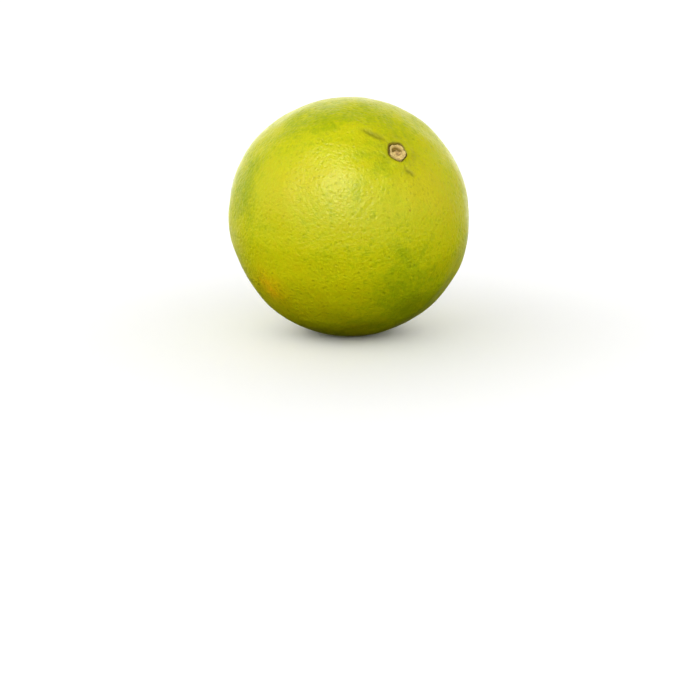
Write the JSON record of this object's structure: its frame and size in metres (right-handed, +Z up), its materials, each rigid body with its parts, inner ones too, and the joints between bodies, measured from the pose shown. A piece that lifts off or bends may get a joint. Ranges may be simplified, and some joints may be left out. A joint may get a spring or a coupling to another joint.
{
  "type": "orange",
  "caption": "Whole green-skinned sweet orange with its woody stem button, lying on a small flat spot with the stem end tilted forward.",
  "frame": {"origin": "middle of the flat spot under the fruit, on the surface that it rests on", "axes": "+Z up; the stem end leans 49 degrees from +Z, towards +X and -Y (57 degrees from +X towards -Y); -Y is the front"},
  "size_m": [0.0764, 0.0758, 0.0749],
  "materials": {
    "peel": "satin waxy citrus peel with fine oil-gland pits, lime green mottled with yellow",
    "stem_button": "dry matte pale tan wood with dark brown crevices"
  },
  "bodies": {
    "root": {"fruit": "peel", "stem_button": "stem_button"}
  },
  "joints": []
}
